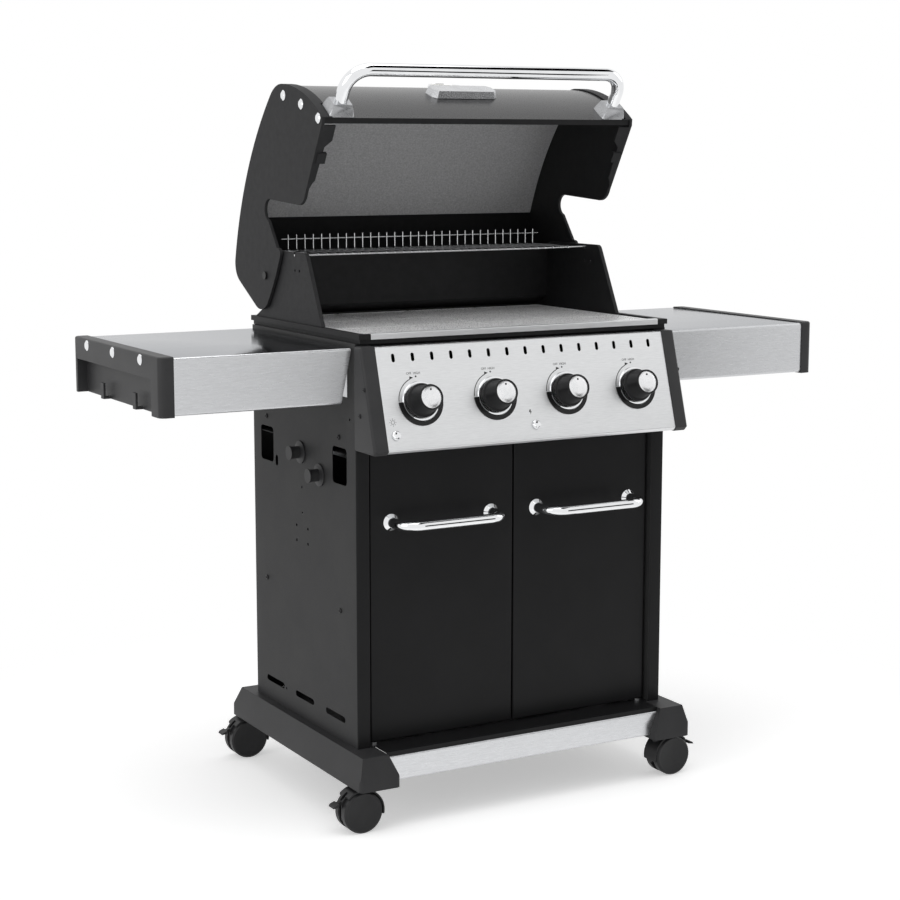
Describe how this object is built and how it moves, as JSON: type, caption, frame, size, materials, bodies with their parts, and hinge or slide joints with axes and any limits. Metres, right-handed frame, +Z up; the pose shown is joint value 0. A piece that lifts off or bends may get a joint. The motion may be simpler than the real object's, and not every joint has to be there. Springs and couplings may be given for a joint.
{
  "type": "gas barbecue grill",
  "caption": "Gas barbecue grill on a caster cart with a hinged lid, a warming rack, twin cabinet doors, push-and-turn control knobs and folded stainless side shelves with tool hooks.",
  "frame": {"origin": "on the floor, under the middle of the grill's overall box", "axes": "+X runs to the right of someone facing the grill, the front with the knobs faces -Y, +Z is up"},
  "size_m": [1.454, 0.6441, 1.425],
  "materials": {
    "lid_enamel": "satin black enamel",
    "charcoal_casting": "matt charcoal heat paint",
    "door_paint": "satin black powder coat",
    "panel_paint": "matt charcoal powder coat",
    "stainless": "brushed along its length",
    "chrome": "polished",
    "black_plastic": "fine moulded grain",
    "knob_plastic": "satin, with a bright metal insert",
    "caster_plastic": "moulded",
    "liner_sheet": "aluminised and mottled",
    "firebox_enamel": "matt black heat enamel",
    "grate_steel": "dull bar stock",
    "burner_steel": "plain",
    "galvanised": "spangled zinc",
    "valve_brass": "machined",
    "manifold_paint": "grey paint",
    "plate_metal": "satin"
  },
  "bodies": {
    "cart": {"base_front_trim": "stainless", "base_panel": "door_paint", "base_rails": "black_plastic", "burners": "burner_steel", "button_modules": "black_plastic", "control_panel": "stainless", "control_panel_caps": "black_plastic", "cook_box_back": "firebox_enamel", "cook_box_sides": "firebox_enamel", "cooking_grates": "grate_steel", "fasteners": "chrome", "firebox": "firebox_enamel", "firebox_front_trim": "stainless", "front_brace": "door_paint", "gas_manifold": "manifold_paint", "gas_valves": "valve_brass", "heat_plates": "burner_steel", "knob_bezels": "chrome", "rear_panel": "panel_paint", "shelf_caps": "black_plastic", "shelf_left": "stainless", "shelf_right": "stainless", "side_panel_left": "panel_paint", "side_panel_right": "panel_paint", "side_pegs": "black_plastic", "warming_rack": "chrome"},
    "lid": {"lid_ends": "charcoal_casting", "lid_gauge": "plate_metal", "lid_handle": "chrome", "lid_liner": "liner_sheet", "lid_nameplate": "plate_metal", "lid_screws": "chrome", "lid_skin": "lid_enamel"},
    "door_right": {"door_right": "door_paint", "door_handle_right": "chrome"},
    "door_left": {"door_left": "door_paint", "door_handle_left": "chrome"},
    "grease_tray": {"grease_tray": "galvanised"},
    "ignition_button": {"ignition_button": "chrome"},
    "light_button": {"light_button": "chrome"},
    "valve_collar_1": {"valve_collar_1": "valve_brass"},
    "knob_1": {"knob_1": "knob_plastic"},
    "valve_collar_2": {"valve_collar_2": "valve_brass"},
    "knob_2": {"knob_2": "knob_plastic"},
    "valve_collar_3": {"valve_collar_3": "valve_brass"},
    "knob_3": {"knob_3": "knob_plastic"},
    "valve_collar_4": {"valve_collar_4": "valve_brass"},
    "knob_4": {"knob_4": "knob_plastic"},
    "caster_fork_front_left": {"caster_fork_front_left": "caster_plastic"},
    "caster_wheel_front_left": {"caster_wheel_front_left": "caster_plastic"},
    "brake_lever_front_left": {"brake_lever_front_left": "caster_plastic"},
    "caster_fork_front_right": {"caster_fork_front_right": "caster_plastic"},
    "caster_wheel_front_right": {"caster_wheel_front_right": "caster_plastic"},
    "brake_lever_front_right": {"brake_lever_front_right": "caster_plastic"},
    "caster_fork_rear_left": {"caster_fork_rear_left": "caster_plastic"},
    "caster_wheel_rear_left": {"caster_wheel_rear_left": "caster_plastic"},
    "brake_lever_rear_left": {"brake_lever_rear_left": "caster_plastic"},
    "caster_fork_rear_right": {"caster_fork_rear_right": "caster_plastic"},
    "caster_wheel_rear_right": {"caster_wheel_rear_right": "caster_plastic"},
    "brake_lever_rear_right": {"brake_lever_rear_right": "caster_plastic"}
  },
  "joints": [
    {"name": "lid_hinge", "type": "hinge", "parent": "cart", "child": "lid", "pos_m": [0, 0.17011, 1.019], "axis": [1, 0, 0], "range_deg": [0, 60]},
    {"name": "door_right_hinge", "type": "hinge", "parent": "cart", "child": "door_right", "pos_m": [0.304, -0.19989, 0.437], "axis": [0, 0, 1], "range_deg": [0, 92]},
    {"name": "door_left_hinge", "type": "hinge", "parent": "cart", "child": "door_left", "pos_m": [-0.304, -0.19989, 0.437], "axis": [0, 0, -1], "range_deg": [0, 92]},
    {"name": "grease_tray_slide", "type": "slide", "parent": "cart", "child": "grease_tray", "axis": [0, 1, 0], "range_m": [0, 0.35]},
    {"name": "knob_1_push", "type": "slide", "parent": "cart", "child": "valve_collar_1", "axis": [0, 0.9585, -0.285], "range_m": [0, 0.005], "stiffness_N_per_m": 600, "springref_m": -0.002},
    {"name": "knob_1_turn", "type": "hinge", "parent": "valve_collar_1", "child": "knob_1", "pos_m": [-0.2385, -0.27267, 0.81083], "axis": [0, -0.9585, 0.285], "range_deg": [0, 210]},
    {"name": "knob_2_push", "type": "slide", "parent": "cart", "child": "valve_collar_2", "axis": [0, 0.9585, -0.285], "range_m": [0, 0.005], "stiffness_N_per_m": 600, "springref_m": -0.002},
    {"name": "knob_2_turn", "type": "hinge", "parent": "valve_collar_2", "child": "knob_2", "pos_m": [-0.0795, -0.27267, 0.81083], "axis": [0, -0.9585, 0.285], "range_deg": [0, 210]},
    {"name": "knob_3_push", "type": "slide", "parent": "cart", "child": "valve_collar_3", "axis": [0, 0.9585, -0.285], "range_m": [0, 0.005], "stiffness_N_per_m": 600, "springref_m": -0.002},
    {"name": "knob_3_turn", "type": "hinge", "parent": "valve_collar_3", "child": "knob_3", "pos_m": [0.0795, -0.27267, 0.81083], "axis": [0, -0.9585, 0.285], "range_deg": [0, 210]},
    {"name": "knob_4_push", "type": "slide", "parent": "cart", "child": "valve_collar_4", "axis": [0, 0.9585, -0.285], "range_m": [0, 0.005], "stiffness_N_per_m": 600, "springref_m": -0.002},
    {"name": "knob_4_turn", "type": "hinge", "parent": "valve_collar_4", "child": "knob_4", "pos_m": [0.2385, -0.27267, 0.81083], "axis": [0, -0.9585, 0.285], "range_deg": [0, 210]},
    {"name": "ignition_button_push", "type": "slide", "parent": "cart", "child": "ignition_button", "axis": [0, 0.9585, -0.285], "range_m": [0, 0.003], "stiffness_N_per_m": 500, "springref_m": -0.002},
    {"name": "light_button_push", "type": "slide", "parent": "cart", "child": "light_button", "axis": [0, 0.9585, -0.285], "range_m": [0, 0.003], "stiffness_N_per_m": 500, "springref_m": -0.002},
    {"name": "caster_front_left_swivel", "type": "hinge", "parent": "cart", "child": "caster_fork_front_left", "pos_m": [-0.333, -0.23989, 0.1], "axis": [0, 0, 1], "continuous": true},
    {"name": "caster_front_left_roll", "type": "hinge", "parent": "caster_fork_front_left", "child": "caster_wheel_front_left", "pos_m": [-0.355, -0.23989, 0.04], "axis": [0, 1, 0], "continuous": true},
    {"name": "brake_front_left_pedal", "type": "hinge", "parent": "caster_fork_front_left", "child": "brake_lever_front_left", "pos_m": [-0.386, -0.23989, 0.062], "axis": [0, -1, 0], "range_deg": [0, 12]},
    {"name": "caster_front_right_swivel", "type": "hinge", "parent": "cart", "child": "caster_fork_front_right", "pos_m": [0.333, -0.23989, 0.1], "axis": [0, 0, 1], "continuous": true},
    {"name": "caster_front_right_roll", "type": "hinge", "parent": "caster_fork_front_right", "child": "caster_wheel_front_right", "pos_m": [0.355, -0.23989, 0.04], "axis": [0, 1, 0], "continuous": true},
    {"name": "brake_front_right_pedal", "type": "hinge", "parent": "caster_fork_front_right", "child": "brake_lever_front_right", "pos_m": [0.386, -0.23989, 0.062], "axis": [0, 1, 0], "range_deg": [0, 12]},
    {"name": "caster_rear_left_swivel", "type": "hinge", "parent": "cart", "child": "caster_fork_rear_left", "pos_m": [-0.333, 0.28811, 0.1], "axis": [0, 0, 1], "continuous": true},
    {"name": "caster_rear_left_roll", "type": "hinge", "parent": "caster_fork_rear_left", "child": "caster_wheel_rear_left", "pos_m": [-0.355, 0.28811, 0.04], "axis": [0, 1, 0], "continuous": true},
    {"name": "brake_rear_left_pedal", "type": "hinge", "parent": "caster_fork_rear_left", "child": "brake_lever_rear_left", "pos_m": [-0.386, 0.28811, 0.062], "axis": [0, -1, 0], "range_deg": [0, 12]},
    {"name": "caster_rear_right_swivel", "type": "hinge", "parent": "cart", "child": "caster_fork_rear_right", "pos_m": [0.333, 0.28811, 0.1], "axis": [0, 0, 1], "continuous": true},
    {"name": "caster_rear_right_roll", "type": "hinge", "parent": "caster_fork_rear_right", "child": "caster_wheel_rear_right", "pos_m": [0.355, 0.28811, 0.04], "axis": [0, 1, 0], "continuous": true},
    {"name": "brake_rear_right_pedal", "type": "hinge", "parent": "caster_fork_rear_right", "child": "brake_lever_rear_right", "pos_m": [0.386, 0.28811, 0.062], "axis": [0, 1, 0], "range_deg": [0, 12]}
  ]
}
